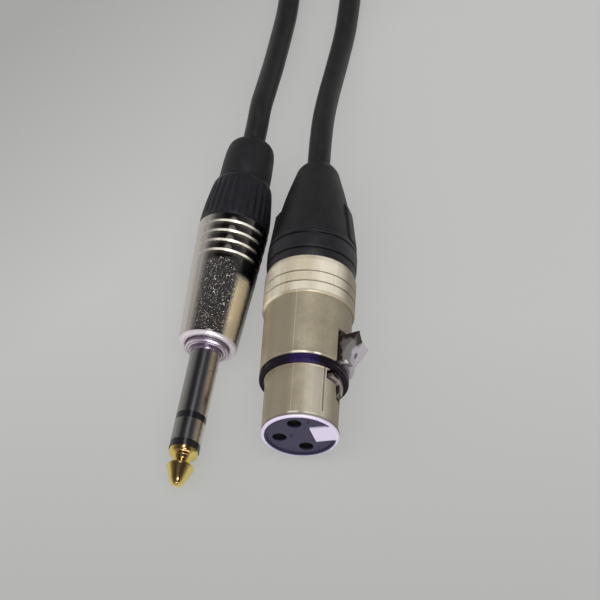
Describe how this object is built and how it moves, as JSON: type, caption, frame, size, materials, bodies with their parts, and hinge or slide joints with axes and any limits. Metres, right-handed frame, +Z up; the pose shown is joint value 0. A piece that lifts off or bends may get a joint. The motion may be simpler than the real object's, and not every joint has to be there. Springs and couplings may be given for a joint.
{
  "type": "audio cable",
  "caption": "Black audio lead with a latching female microphone connector at one end, a stereo jack plug at the other, and its spare length in a tied hank.",
  "frame": {"origin": "on the surface that the lead lies on, under the middle of the box round the two connectors, measured without the cable, its hank and its tie", "axes": "+Y from the connectors' open ends towards the hank, along the socket connector's axis; +X towards the latch side of the socket connector; +Z up"},
  "size_m": [0.0476, 0.2638, 0.0236],
  "materials": {
    "shell_nickel": "satin nickel plate on die-cast zinc",
    "insert_violet": "satin slate-violet plastic",
    "contact_gold": "gold plate",
    "ring_black": "gloss black",
    "latch_chrome": "bright plate",
    "spring_steel": "drawn steel",
    "chuck_plastic": "moulded",
    "bushing_black": "satin black",
    "boot_rubber": "satin black",
    "wire_insulation": "red, white and black cores",
    "cable_jacket": "satin black",
    "tip_gold": "gold plate",
    "washer_black": "gloss black",
    "plug_nickel": "dark nickel plate",
    "lug_tin": "tinned",
    "inner_tube": "plain insulating tube",
    "barrel_chrome": "dark polished plate",
    "cap_black": "satin black",
    "tie_fabric": "black hook-and-loop"
  },
  "bodies": {
    "lead": {"xlr_shell": "shell_nickel", "xlr_insert": "insert_violet", "xlr_contact_1": "contact_gold", "xlr_contact_2": "contact_gold", "xlr_contact_3": "contact_gold", "xlr_ring": "ring_black", "xlr_latch_pin": "spring_steel", "xlr_latch_spring": "spring_steel", "xlr_chuck": "chuck_plastic", "xlr_bushing": "bushing_black", "xlr_boot": "boot_rubber", "xlr_wires": "wire_insulation", "xlr_cable_tail": "cable_jacket", "jack_tip": "tip_gold", "jack_front_insulator": "washer_black", "jack_ring_contact": "plug_nickel", "jack_rear_insulator": "washer_black", "jack_sleeve": "plug_nickel", "jack_tip_lug": "lug_tin", "jack_ring_lug": "lug_tin", "jack_ground_clamp": "lug_tin", "jack_inner_sleeve": "inner_tube", "jack_barrel": "barrel_chrome", "jack_chuck": "chuck_plastic", "jack_cap": "cap_black", "jack_boot": "boot_rubber", "jack_wires": "wire_insulation", "jack_cable_tail": "cable_jacket", "cable_xlr_run": "cable_jacket", "cable_coil": "cable_jacket", "cable_jack_run": "cable_jacket", "cable_tie": "tie_fabric"},
    "latch": {"xlr_latch": "latch_chrome"}
  },
  "joints": [
    {"name": "latch_press", "type": "hinge", "parent": "lead", "child": "latch", "pos_m": [0.01404, -0.0079, 0.01155], "axis": [0.2756, 0, -0.9613], "range_deg": [0, 4], "stiffness_Nm_per_rad": 0.15, "springref_deg": -2.86, "deforming": ["xlr_latch_spring"]}
  ]
}
